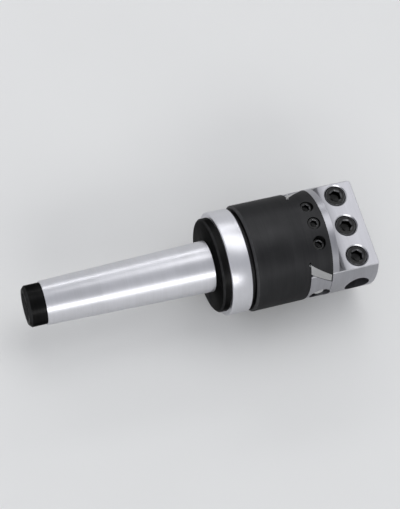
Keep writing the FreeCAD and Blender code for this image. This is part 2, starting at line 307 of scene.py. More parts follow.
def surface_group(name: str, handling: bpy.types.NodeTree, spread: float, sway: tuple[float, float],
                  dirt: float) -> bpy.types.NodeTree:
    """Colour and roughness of a machined surface from its lines, streaks and smudges.

    Args:
        name: name of the group.
        handling: the group of smudges and specks.
        spread: how many smudges there are to a metre.
        sway: change of roughness from clean to smudged.
        dirt: how strongly the specks darken it.

    Returns:
        The group, with outputs Color and Roughness.
    """
    streak_share = 0.5
    smudge_share = 0.25
    sheet = GroupSheet.start(
        name,
        {"Vector": ("Vector", None), "Line": ("Float", 0.5), "Streak": ("Float", 0.5),
         "Deep": ("Color", grey(0.1)), "Pale": ("Color", grey(0.2)), "Rough": ("Float", 0.3)},
        {"Color": "Color", "Roughness": "Float"},
    )
    touched = sheet.call(handling, Vector=sheet.given("Vector"), Spread=spread)
    worked = sheet.blend(streak_share, sheet.given("Line"), sheet.given("Streak"))
    tone = sheet.blend(smudge_share, worked, touched["Smudge"])
    colour = sheet.mix(tone, sheet.given("Deep"), sheet.given("Pale"))
    specked = sheet.mix(sheet.times(touched["Speck"], dirt), colour, sheet.given("Deep"))
    change = sheet.remap(touched["Smudge"], span=(0.0, 1.0), ends=sway)
    rough = sheet.add_up(sheet.given("Rough"), change)
    return sheet.close(Color=specked, Roughness=rough)


@dataclass(frozen=True)
class Groups:
    """The shared effects, built once."""

    turned: bpy.types.NodeTree
    straight: bpy.types.NodeTree
    handling: bpy.types.NodeTree
    wear: bpy.types.NodeTree
    oxide: bpy.types.NodeTree
    steel: bpy.types.NodeTree

    @classmethod
    def build(cls) -> "Groups":
        """Builds every shared group.

        Returns:
            The groups.
        """
        handling = handling_group()
        return cls(
            turned=marks_group("turned_marks", turned=True),
            straight=marks_group("straight_marks", turned=False),
            handling=handling,
            wear=wear_group(),
            oxide=surface_group("black_oxide", handling, spread=70.0, sway=(-0.05, 0.07), dirt=0.3),
            steel=surface_group("bright_steel", handling, spread=55.0, sway=(-0.015, 0.03), dirt=0.5),
        )


@dataclass(frozen=True)
class Finish:
    """A finish of the head. Each kind lays its own nodes in paint."""

    name: str
    slot: str
    axis: Axis = Axis.Z
    deep: Colour = grey(0.5, 0.03)
    pale: Colour = grey(0.68, 0.04)
    # A roughness of 0.28 gave worm-like marks on the steel, and 0.3 gives none
    rough: float = 0.3
    pitch: float = 5000.0
    metallic: float = 1.0
    grazing: float = 1.0
    anisotropic: float = 0.0
    bump: float = 0.06
    grain: float = 0.02 * MM

    def material(self, groups: Groups) -> bpy.types.Material:
        """Makes the finish's material.

        Args:
            groups: the shared effects.

        Returns:
            The new material.
        """
        material = bpy.data.materials.new(self.name)
        material.use_nodes = True
        sheet = Sheet(material.node_tree)
        shader = material.node_tree.nodes["Principled BSDF"]
        shader.inputs["Metallic"].default_value = self.metallic
        shader.inputs["Specular Tint"].default_value = grey(self.grazing)
        shader.inputs["Anisotropic"].default_value = self.anisotropic
        place = sheet.join(*sheet.coordinates("Object", self.axis))
        colour, rough, height = self.paint(sheet, groups, place)
        sheet.feed(shader.inputs["Base Color"], colour)
        sheet.feed(shader.inputs["Roughness"], rough)
        feeds = {"Strength": self.bump, "Distance": self.grain, "Height": height}
        sheet.feed(shader.inputs["Normal"], sheet.add("ShaderNodeBump", feeds).outputs["Normal"])
        return material

    def surface(self, sheet: Sheet, group: bpy.types.NodeTree, place: Socket,
                marks: dict[str, Socket]) -> tuple[Socket, Socket]:
        """Lays this finish's tones over its machining marks.

        Args:
            sheet: the material's sheet.
            group: the shared surface effect.
            place: object coordinates with the finish's axis last.
            marks: the Line and Streak of its machining.

        Returns:
            Colour and roughness.
        """
        result = sheet.call(group, Vector=place, Line=marks["Line"], Streak=marks["Streak"],
                            Deep=self.deep, Pale=self.pale, Rough=self.rough)
        return result["Color"], result["Roughness"]

    def paint(self, sheet: Sheet, groups: Groups, place: Socket) -> Look:
        """Colour, roughness and bump height of the finish."""
        raise NotImplementedError


@dataclass(frozen=True)
class TurnedSteel(Finish):
    """Bare turned or ground steel, or bronze."""

    def paint(self, sheet: Sheet, groups: Groups, place: Socket) -> Look:
        """Bright metal over turning marks."""
        marks = sheet.call(groups.turned, Vector=place, Pitch=self.pitch)
        return *self.surface(sheet, groups.steel, place, marks), marks["Line"]


@dataclass(frozen=True)
class BlackOxide(Finish):
    """Oiled black oxide, rubbed to a paler tone on its chamfers."""

    deep: Colour = grey(0.028, 0.04)
    pale: Colour = grey(0.042, 0.03)
    rough: float = 0.44
    pitch: float = 3500.0
    grazing: float = 0.6
    worn: Colour = grey(0.34, 0.03)
    wear: float = 0.35

    def paint(self, sheet: Sheet, groups: Groups, place: Socket) -> Look:
        """Black oxide over turning marks, with rubbed chamfers.

        Args:
            sheet: the material's sheet.
            groups: the shared effects.
            place: object coordinates with the finish's axis last.

        Returns:
            Colour, roughness and bump height.
        """
        marks = sheet.call(groups.turned, Vector=place, Pitch=self.pitch)
        colour, rough = self.surface(sheet, groups.oxide, place, marks)
        rubbed = sheet.call(groups.wear, Vector=place, Slope=sheet.slope(self.axis), Amount=self.wear)
        return sheet.mix(rubbed["Mask"], colour, self.worn), rough, marks["Line"]


@dataclass(frozen=True)
class BodyOxide(BlackOxide):
    """Black body whose slideway and joint face are ground bright."""

    bare: Colour = grey(0.42, 0.02)
    bare_rough: float = 0.3
    line_share: float = 0.4
    margin: float = 0.05 * MM
    slideway_depth: float = 11.6 * MM
    slideway_half: float = 19.5 * MM

    def paint(self, sheet: Sheet, groups: Groups, place: Socket) -> Look:
        """Black oxide outside, bright steel on the slideway and the joint face.

        Args:
            sheet: the material's sheet.
            groups: the shared effects.
            place: object coordinates with the finish's axis last.

        Returns:
            Colour, roughness and bump height.
        """
        colour, rough, line = super().paint(sheet, groups, place)
        y, z, x = sheet.split(place)
        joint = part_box("head_body")[1].x
        # The slideway's surfaces lie inside the body's round outside
        inside = sheet.below(sheet.distance(y, z), cad_high.z - 2.0 * self.margin)
        slideway = sheet.times(sheet.above(x, joint - self.slideway_depth),
                               sheet.below(sheet.calculate("ABSOLUTE", z), self.slideway_half))
        joint_face = sheet.above(x, joint - self.margin)
        bright = sheet.calculate("MAXIMUM", joint_face, sheet.times(inside, slideway))
        lines = sheet.call(groups.straight, Vector=place, Pitch=self.pitch)["Line"]
        ground = sheet.mix(sheet.times(lines, self.line_share), self.bare, self.worn)
        return sheet.mix(bright, colour, ground), sheet.blend(bright, rough, self.bare_rough), line


@dataclass(frozen=True)
class SlideSteel(Finish):
    """Satin slide: turned round its rim, ground straight on its clamp flat, bright on its chamfers."""

    deep: Colour = grey(0.3, 0.06)
    pale: Colour = grey(0.38, 0.07)
    rough: float = 0.3
    bright: Colour = grey(0.75, 0.03)
    wear: float = 0.7
    end_chamfer: float = 0.65 * MM
    mouth_chamfer: float = 0.55 * MM
    flat_height: float = 13.0 * MM
    flat_slope: float = 0.94
    margin: float = 0.01 * MM
    rim_width: float = 3.02 * MM
    # Painted shade on the clamp flat beside the rim: its colour, its strength at the rim, and how far it
    # fades
    painted_shade: Colour = grey(0.1, 0.08)
    shade_share: float = 0.85
    shade_length: float = 9.18 * MM

    def paint(self, sheet: Sheet, groups: Groups, place: Socket) -> Look:
        """Turning marks on rim and end, straight marks on the flat, painted shade on the flat beside the
        rim, and bright chamfers.

        Args:
            sheet: the material's sheet.
            groups: the shared effects.
            place: object coordinates with the finish's axis last.

        Returns:
            Colour, roughness and bump height.
        """
        upward = sheet.slope(Axis.Z)
        facing = sheet.above(upward, self.flat_slope)
        turned = sheet.call(groups.turned, Vector=place, Pitch=self.pitch)
        ground = sheet.call(groups.straight, Vector=place, Pitch=self.pitch)
        marks = {name: sheet.blend(facing, turned[name], ground[name]) for name in turned}
        colour, rough = self.surface(sheet, groups.steel, place, marks)
        _y, z, x = sheet.split(place)
        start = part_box("head_body")[1].x + self.rim_width
        over_flat = sheet.times(sheet.above(z, self.flat_height - self.margin), sheet.above(x, start))
        # Painted shade: the flat is darker next to the rim and fades back to its own tone away from it
        shade_ramp = sheet.remap(x, span=(start, start + self.shade_length), ends=(self.shade_share, 0.0))
        colour = sheet.mix(sheet.times(over_flat, shade_ramp), colour, self.painted_shade)
        at_end = sheet.above(x, cad_high.x - self.end_chamfer)
        at_mouth = sheet.times(sheet.above(z, self.flat_height - self.mouth_chamfer),
                               sheet.below(z, self.flat_height + self.margin))
        end_slope = sheet.times(sheet.slope(Axis.X), at_end)
        slope = sheet.calculate("MAXIMUM", end_slope, sheet.times(upward, at_mouth))
        rubbed = sheet.call(groups.wear, Vector=place, Slope=slope, Amount=self.wear)
        return sheet.mix(rubbed["Mask"], colour, self.bright), rough, marks["Line"]


BRONZE_DEEP: Colour = (0.42, 0.26, 0.1, 1.0)
BRONZE_PALE: Colour = (0.62, 0.42, 0.2, 1.0)


class Skin(Enum):
    """The finishes that the pieces wear."""

    GROUND = TurnedSteel("ground_shank", "ground_steel", deep=grey(0.59, 0.04), pale=grey(0.66, 0.05),
                         anisotropic=0.3, bump=0.025, grain=0.01 * MM)
    # Painted shade: flange and tip wear a darker copy of the body's black oxide, standing in for the shade
    # the flange lies in
    COLLAR = BlackOxide("shaded_black_collar", "black_oxide", deep=grey(0.008), pale=grey(0.014), rough=0.34,
                        grazing=0.45, wear=0.08)
    BODY = BodyOxide("oxide_body", "black_oxide", axis=Axis.X, wear=0.15)
    SLIDE = SlideSteel("satin_slide", "milled_steel", axis=Axis.X)
    GIB = TurnedSteel("ground_gib", "gib_steel", axis=Axis.Y, deep=grey(0.38), pale=grey(0.5))
    SCREW = BlackOxide("oiled_screws", "black_screw", deep=grey(0.018), pale=grey(0.028), rough=0.34)
    CAP_SCREW = BlackOxide("oiled_cap_screw", "black_screw", axis=Axis.X)
    NUT = BlackOxide("oiled_nuts", "black_screw", rough=0.34, wear=0.6)
    DIAL = TurnedSteel("satin_dial", "dial_chrome", deep=grey(0.56), pale=grey(0.68))
    INK = BlackOxide("filled_ink", "dial_chrome", deep=grey(0.008), pale=grey(0.014), metallic=0.0,
                     wear=0.0)
    BRONZE = TurnedSteel("turned_bronze", "bronze", axis=Axis.Y, deep=BRONZE_DEEP, pale=BRONZE_PALE)


@dataclass
class Wardrobe:
    """Materials of the head, each made when it is first worn."""

    groups: Groups
    made: dict[Skin, bpy.types.Material] = field(default_factory=dict)

    def material(self, skin: Skin) -> bpy.types.Material:
        """Material of a finish.

        Args:
            skin: the finish.

        Returns:
            Its one material.
        """
        if skin not in self.made:
            self.made[skin] = skin.value.material(self.groups)
        return self.made[skin]

    def dress_node(self, node: str, skin: Skin) -> bpy.types.Object:
        """Gives a node that keeps its own solid its finish.

        Args:
            node: name of the node.
            skin: the finish it wears.

        Returns:
            The node's object.
        """
        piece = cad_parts[node]
        piece.material_slots[0].material = self.material(skin)
        return piece

    def settle(self, piece: bpy.types.Object, skin: Skin, body: str,
               node: str = "") -> bpy.types.Object:
        """Dresses a new piece and lets it ride its body.

        Args:
            piece: the piece, in its place.
            skin: the finish it wears.
            body: the body it rides.
            node: the node that the piece stands for, if any.

        Returns:
            The piece.
        """
        piece.data.materials.append(self.material(skin))
        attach(piece, body)
        if node:
            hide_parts(node)
        return piece


@dataclass(frozen=True)
class Thread:
    """Screw thread with flat crests and roots. Its major is the radius of its crests."""

    pitch: float
    major: float
    depth_share: float = 0.6134
    crest_share: float = 0.125
    root_share: float = 0.75
    steps: int = 8

    def radius(self, angle: float, height: float) -> float:
        """Radius of the thread.

        Args:
            angle: angle about its axis.
            height: height along its axis.

        Returns:
            The radius there.
        """
        turn = (height / self.pitch - angle / TURN) % 1.0
        off_crest = min(turn, 1.0 - turn) * 2.0
        down = (off_crest - self.crest_share) / (self.root_share - self.crest_share)
        return self.major - self.depth_share * self.pitch * min(max(down, 0.0), 1.0)


@dataclass(frozen=True)
class Ring:
    """One ring of a turned mesh: its height, and its radius at each angle."""

    height: float
    radius: Profile

    @classmethod
    def plain(cls, height: float, radius: float) -> "Ring":
        """A round ring."""
        return cls(height, lambda _angle: radius)

    @classmethod
    def hexagon(cls, height: float, flats: float, cap: float = math.inf) -> "Ring":
        """A six-sided ring, its corners cut off at a radius of cap."""
        sixth = TURN / 6.0
        return cls(height, lambda angle: min(cap, flats / 2.0 / math.cos(angle % sixth - sixth / 2.0)))


def threaded(thread: Thread, low: float, high: float, envelope: Profile) -> list[Ring]:
    """Rings of a threaded stretch.

    Args:
        thread: the thread.
        low: height where it starts.
        high: height where it ends.
        envelope: largest radius at each height, for chamfered ends.

    Returns:
        Its rings from low to high.
    """
    count = max(2, round((high - low) / thread.pitch * thread.steps))
    rings = []
    for index in range(count + 1):
        height = low + (high - low) * index / count
        cap = envelope(height)
        rings.append(Ring(height, lambda angle, h=height, c=cap: min(c, thread.radius(angle, h))))
    return rings


@dataclass(frozen=True)
class HexSocket:
    """Hexagon socket with a chamfered mouth and the cone of its drill at the floor."""

    flats: float
    depth: float
    lead_share: float = 0.06
    lead_slope: float = 1.6
    drill_share: float = 0.45
    cone_share: float = 0.22
    tip_share: float = 0.02

    def rings(self, top: float) -> list[Ring]:
        """Rings of the socket.

        Args:
            top: height of its mouth.

        Returns:
            Its rings from the mouth to the bottom of the cone.
        """
        lead = self.lead_share * self.flats
        floor = top - self.depth
        return [
            Ring.plain(top, self.flats / math.sqrt(3.0) + lead),
            Ring.hexagon(top - self.lead_slope * lead, self.flats),
            Ring.hexagon(floor, self.flats),
            Ring.plain(floor, self.drill_share * self.flats),
            Ring.plain(floor - self.cone_share * self.flats, self.tip_share * self.flats),
        ]


def finished_mesh(name: str, work: bmesh.types.BMesh) -> bpy.types.Mesh:
    """Mesh from the work, with smooth faces, outward normals and sharp edges.

    Args:
        name: name of the mesh.
        work: its vertices and faces, freed here.

    Returns:
        The new mesh.
    """
    bmesh.ops.recalc_face_normals(work, faces=work.faces)
    for face in work.faces:
        face.smooth = True
    mesh = bpy.data.meshes.new(name)
    work.to_mesh(mesh)
    work.free()
    mesh.set_sharp_from_angle(angle=SHARP_ANGLE)
    return mesh


def close_end(work: bmesh.types.BMesh, row: Sequence[bmesh.types.BMVert], height: float) -> None:
    """Closes an end of a turned mesh with a flat fan.

    Args:
        work: the mesh in the making.
        row: the vertices round that end.
        height: height of the end.
    """
    middle = work.verts.new((0.0, 0.0, height))
    for here, after in zip(row, [*row[1:], row[0]]):
        work.faces.new((here, after, middle))


def turned_mesh(name: str, rings: Sequence[Ring], columns: int, looped: bool = False) -> bpy.types.Mesh:
    """Skins rings about the mesh's z axis.

    Args:
        name: name of the mesh.
        rings: the rings in order along the surface.
        columns: points on each ring.
        looped: True where the last ring joins the first, and False where both ends are closed flat.

    Returns:
        The new mesh.
    """
    work = bmesh.new()
    angles = [TURN * column / columns for column in range(columns)]
    rows = []
    for ring in rings:
        row = []
        for angle in angles:
            radius = ring.radius(angle)
            row.append(work.verts.new((radius * math.cos(angle), radius * math.sin(angle), ring.height)))
        rows.append(row)
    following = rows[1:] + rows[:1] if looped else rows[1:]
    pairs = list(zip(rows, following))
    for column in range(columns):
        after = (column + 1) % columns
        for lower, upper in pairs:
            work.faces.new((lower[column], lower[after], upper[after], upper[column]))
    if not looped:
        close_end(work, rows[0], rings[0].height)
        close_end(work, rows[-1], rings[-1].height)
    return finished_mesh(name, work)


def slab_mesh(name: str, slabs: Sequence[Sequence[tuple[float, float, float]]]) -> bpy.types.Mesh:
    """Thin closed slabs, such as filled lines.

    Args:
        name: name of the mesh.
        slabs: eight corners of each slab, four round its top and then four round its underside.

    Returns:
        The new mesh.
    """
    work = bmesh.new()
    for corners in slabs:
        top = [work.verts.new(corner) for corner in corners[:4]]
        under = [work.verts.new(corner) for corner in corners[4:]]
        work.faces.new(top)
        work.faces.new(under)
        for index in range(4):
            after = (index + 1) % 4
            work.faces.new((top[index], top[after], under[after], under[index]))
    return finished_mesh(name, work)


def eased(points: Sequence[tuple[float, float]], ease: float) -> list[Ring]:
    """Rings of an outline with each inner corner eased by a small curve.

    Args:
        points: corners of the outline as (height, radius).
        ease: length of the curve on each side of a corner.

    Returns:
        The rings along it.
    """
    # A curve takes no more than this share of a side
    most = 0.4
    result = [points[0]]
    for before, here, after in zip(points, points[1:], points[2:]):
        back, ahead = math.dist(before, here), math.dist(here, after)
        reach = min(ease, most * back, most * ahead)
        start = tuple(h + (b - h) * reach / back for b, h in zip(before, here))
        end = tuple(h + (a - h) * reach / ahead for a, h in zip(after, here))
        middle = tuple((s + e) / 4.0 + h / 2.0 for s, e, h in zip(start, end, here))
        result += [start, middle, end]
    return [Ring.plain(height, radius) for height, radius in [*result, points[-1]]]


def stand(mesh: bpy.types.Mesh, base: Vector, axis: Axis, spin: float = 0.0) -> bpy.types.Object:
    """Puts a mesh in the scene.

    Args:
        mesh: the mesh.
        base: where its own origin goes.
        axis: the axis that its own z axis goes along.
        spin: turn about that axis, in radians.

    Returns:
        The new object.
    """
    piece = bpy.data.objects.new(mesh.name, mesh)
    bpy.context.scene.collection.objects.link(piece)
    piece.matrix_world = Matrix.Translation(base) @ axis.turn() @ Matrix.Rotation(spin, 4, "Z")
    return piece


@dataclass
class TaperShank:
    """Tapered shank turned in one piece with its flange, ring and spigot, tapped for a drawbar."""

    tip_radius: float = 9.5 * MM
    tip_chamfer: float = 1.2 * MM
    tip_length: float = 8.0 * MM
    gauge_radius: float = 11.9125 * MM
    half_taper: float = 1.0 / 19.922 / 2.0
    collar: float = 5.0 * MM
    flange_radius: float = 22.0 * MM
    flange_chamfer: float = 0.8 * MM
    ring_start: float = 8.6 * MM
    ring_end: float = 18.4 * MM
    ring_radius: float = 24.25 * MM
    ring_chamfer: float = 0.4 * MM
    spigot_radius: float = 19.05 * MM
    hole_depth: float = 30.0 * MM
    hole_radius: float = 5.1 * MM
    hole_mouth: float = 6.6 * MM
    mouth_land: float = 0.02 * MM
    thread: Thread = Thread(pitch=1.75 * MM, major=6.0 * MM, depth_share=0.514)
    thread_runout: float = 2.0 * MM
    ease: float = 0.12 * MM
    columns: int = 144

    def __post_init__(self) -> None:
        """Takes the two ends from the node that the shank stands for."""
        low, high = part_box("taper_shank")
        self.tip_end, self.spigot_end = low.x, high.x
        self.ground_end = self.tip_end + self.tip_length

    def outline(self) -> list[tuple[float, float]]:
        """Outline from the mouth of the hole, over the tip, to the end of the spigot.

        Returns:
            Its corners as (height, radius).
        """
        chamfered = self.ring_radius - self.ring_chamfer
        return [
            (self.tip_end, self.hole_mouth + self.mouth_land),
            (self.tip_end, self.tip_radius - self.tip_chamfer),
            (self.tip_end + self.tip_chamfer, self.tip_radius),
            (self.ground_end, self.tip_radius),
            (self.ground_end, self.gauge_radius + self.ground_end * self.half_taper),
            (self.collar, self.gauge_radius + self.collar * self.half_taper),
            (self.collar, self.flange_radius - self.flange_chamfer),
            (self.collar + self.flange_chamfer, self.flange_radius),
            (self.ring_start, self.flange_radius),
            (self.ring_start, chamfered),
            (self.ring_start + self.ring_chamfer, self.ring_radius),
            (self.ring_end - self.ring_chamfer, self.ring_radius),
            (self.ring_end, chamfered),
            (self.ring_end, self.spigot_radius),
            (self.spigot_end, self.spigot_radius),
        ]

    def drawbar_rings(self) -> list[Ring]:
        """Rings of the tapped hole.

        Returns:
            Its rings from the floor to the countersunk mouth.
        """
        floor = self.tip_end + self.hole_depth
        rings = [Ring.plain(floor, self.hole_radius)]
        stretch = threaded(self.thread, self.tip_end, floor - self.thread_runout, lambda _height: math.inf)
        for ring in reversed(stretch):
            sunk = self.hole_mouth - (ring.height - self.tip_end)
            rings.append(Ring(ring.height, lambda angle, r=ring, s=sunk: max(s, r.radius(angle))))
        return rings

    def is_black(self, height: float) -> bool:
        """Tells whether a face keeps its black oxide, as the tip and the flange do.

        Args:
            height: height of the face's middle.

        Returns:
            True where it is black.
        """
        at_tip = height < self.ground_end - self.ease / 2.0
        at_flange = self.collar - self.ease < height < self.ring_start - self.ease / 2.0
        return at_tip or at_flange

    def build(self, wardrobe: Wardrobe) -> list[bpy.types.Object]:
        """Makes the shank, with its black bands.

        Args:
            wardrobe: the finishes.

        Returns:
            The shank alone.
        """
        rings = self.drawbar_rings() + eased(self.outline(), self.ease)
        mesh = turned_mesh("ground_taper_shank", rings, self.columns)
        piece = stand(mesh, Vector((0.0, 0.0, 0.0)), Axis.X)
        wardrobe.settle(piece, Skin.GROUND, "head", node="taper_shank")
        mesh.materials.append(wardrobe.material(Skin.COLLAR))
        for face in mesh.polygons:
            face.material_index = int(self.is_black(face.center.z))
        return [piece]


@dataclass
class GrubScrew:
    """Socket grub screw with a real thread, in the place of its node and turned by spin degrees."""

    node: str
    body: str
    axis: Axis
    thread: Thread
    socket: HexSocket
    spin: float
    end_chamfer: float = 0.4 * MM
    dog_radius: float = 0.0
    dog_length: float = 0.0
    dog_ease: float = 0.25 * MM
    columns: int = 72

    def rings(self, length: float) -> list[Ring]:
        """Rings of the screw.

        Args:
            length: its whole length.

        Returns:
            Its rings from the tip to the floor of the socket.
        """
        def envelope(height: float) -> float:
            """Largest radius at a height, with both ends chamfered."""
            low, high = self.dog_length + self.end_chamfer, length - self.end_chamfer
            return self.thread.major - max(low - height, height - high, 0.0)

        dog = []
        if self.dog_length:
            dog = [
                Ring.plain(0.0, self.dog_radius - self.dog_ease),
                Ring.plain(self.dog_ease, self.dog_radius),
                Ring.plain(self.dog_length, self.dog_radius),
            ]
        shaft = threaded(self.thread, self.dog_length, length, envelope)
        return dog + shaft + self.socket.rings(length)

    def build(self, wardrobe: Wardrobe) -> bpy.types.Object:
        """Makes the screw where its node stands.

        Args:
            wardrobe: the finishes.

        Returns:
            The screw.
        """
        low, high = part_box(self.node)
        along = self.axis.value[2]
        base = (low + high) / 2.0
        base[along] = low[along]
        mesh = turned_mesh(f"{self.node}_threaded", self.rings(high[along] - low[along]), self.columns)
        piece = stand(mesh, base, self.axis, math.radians(self.spin))
        return wardrobe.settle(piece, Skin.SCREW, self.body, node=self.node)


@dataclass
class HeadBody:
    """Black body with its gib, the screws that set the gib, and the screw and pad that lock the shank."""

    thread: Thread = Thread(pitch=1.0 * MM, major=3.0 * MM)
    gib_socket: HexSocket = HexSocket(flats=3.0 * MM, depth=2.2 * MM)
    lock_socket: HexSocket = HexSocket(flats=3.0 * MM, depth=2.0 * MM)
    lock_spin: float = 17.0
    dog_radius: float = 2.0 * MM
    # Height at which the gib screws' dog points end and their threads begin
    shoulder: float = 16.934 * MM
    # Node, body and spin of each screw on the gib
    gib_screws: tuple[tuple[str, str, float], ...] = (
        ("gib_screw_front", "gib_front", 8.0),
        ("gib_lock_screw", "gib_lock", 38.0),
        ("gib_screw_rear", "gib_rear", 21.0),
    )

    def build(self, wardrobe: Wardrobe) -> list[bpy.types.Object]:
        """Dresses the body, the gib and the pad, and makes the screws.

        Args:
            wardrobe: the finishes.

        Returns:
            All of its pieces.
        """
        pieces = [
            wardrobe.dress_node("head_body", Skin.BODY),
            wardrobe.dress_node("gib_strip", Skin.GIB),
            wardrobe.dress_node("thread_pad", Skin.BRONZE),
        ]
        for node, body, spin in self.gib_screws:
            dog = self.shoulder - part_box(node)[0].z
            screw = GrubScrew(node, body, Axis.Z, self.thread, self.gib_socket, spin,
                              dog_radius=self.dog_radius, dog_length=dog)
            pieces.append(screw.build(wardrobe))
        lock = GrubScrew("shank_lock_screw", "shank_lock", Axis.Y, self.thread, self.lock_socket,
                         self.lock_spin)
        return [*pieces, lock.build(wardrobe)]


@dataclass
class BarSlide:
    """Slide with its clamp screws and the line that the dial is read against."""

    thread: Thread = Thread(pitch=1.5 * MM, major=5.0 * MM)
    socket: HexSocket = HexSocket(flats=5.0 * MM, depth=3.4 * MM)
    end_chamfer: float = 0.6 * MM
    clamp_spins: tuple[tuple[str, float], ...] = (("cross", 14.0), ("center", 47.0), ("offset", 29.0))
    # The index mark's ends along x, and the height of the dial's axis that it stands at
    mark_start: float = 60.3 * MM
    mark_end: float = 63.4 * MM
    mark_height: float = -2.0496 * MM
    mark_width: float = 0.16 * MM
    mark_proud: float = 0.01 * MM
    mark_sunk: float = 0.04 * MM

    def index_mark(self) -> bpy.types.Mesh:
        """Filled line on the rim, beside the dial and level with its axis.

        Returns:
            Its mesh.
        """
        start, end = self.mark_start, self.mark_end
        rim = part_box("bar_slide")[1].y
        middle = math.asin(self.mark_height / rim)
        half = self.mark_width / 2.0 / rim
        corners = []
        for radius in (rim + self.mark_proud, rim - self.mark_sunk):
            for x, side in ((start, -half), (start, half), (end, half), (end, -half)):
                corners.append((x, radius * math.cos(middle + side), radius * math.sin(middle + side)))
        return slab_mesh("dial_index_mark", [corners])

    def build(self, wardrobe: Wardrobe) -> list[bpy.types.Object]:
        """Dresses the slide, and makes its clamp screws and index mark.

        Args:
            wardrobe: the finishes.

        Returns:
            All of its pieces.
        """
        pieces = [wardrobe.dress_node("bar_slide", Skin.SLIDE)]
        for name, spin in self.clamp_spins:
            screw = GrubScrew(f"clamp_screw_{name}", f"clamp_{name}", Axis.Z, self.thread, self.socket,
                              spin, end_chamfer=self.end_chamfer)
            pieces.append(screw.build(wardrobe))
        mark = stand(self.index_mark(), Vector((0.0, 0.0, 0.0)), Axis.Z)
        return [*pieces, wardrobe.settle(mark, Skin.INK, "slide")]


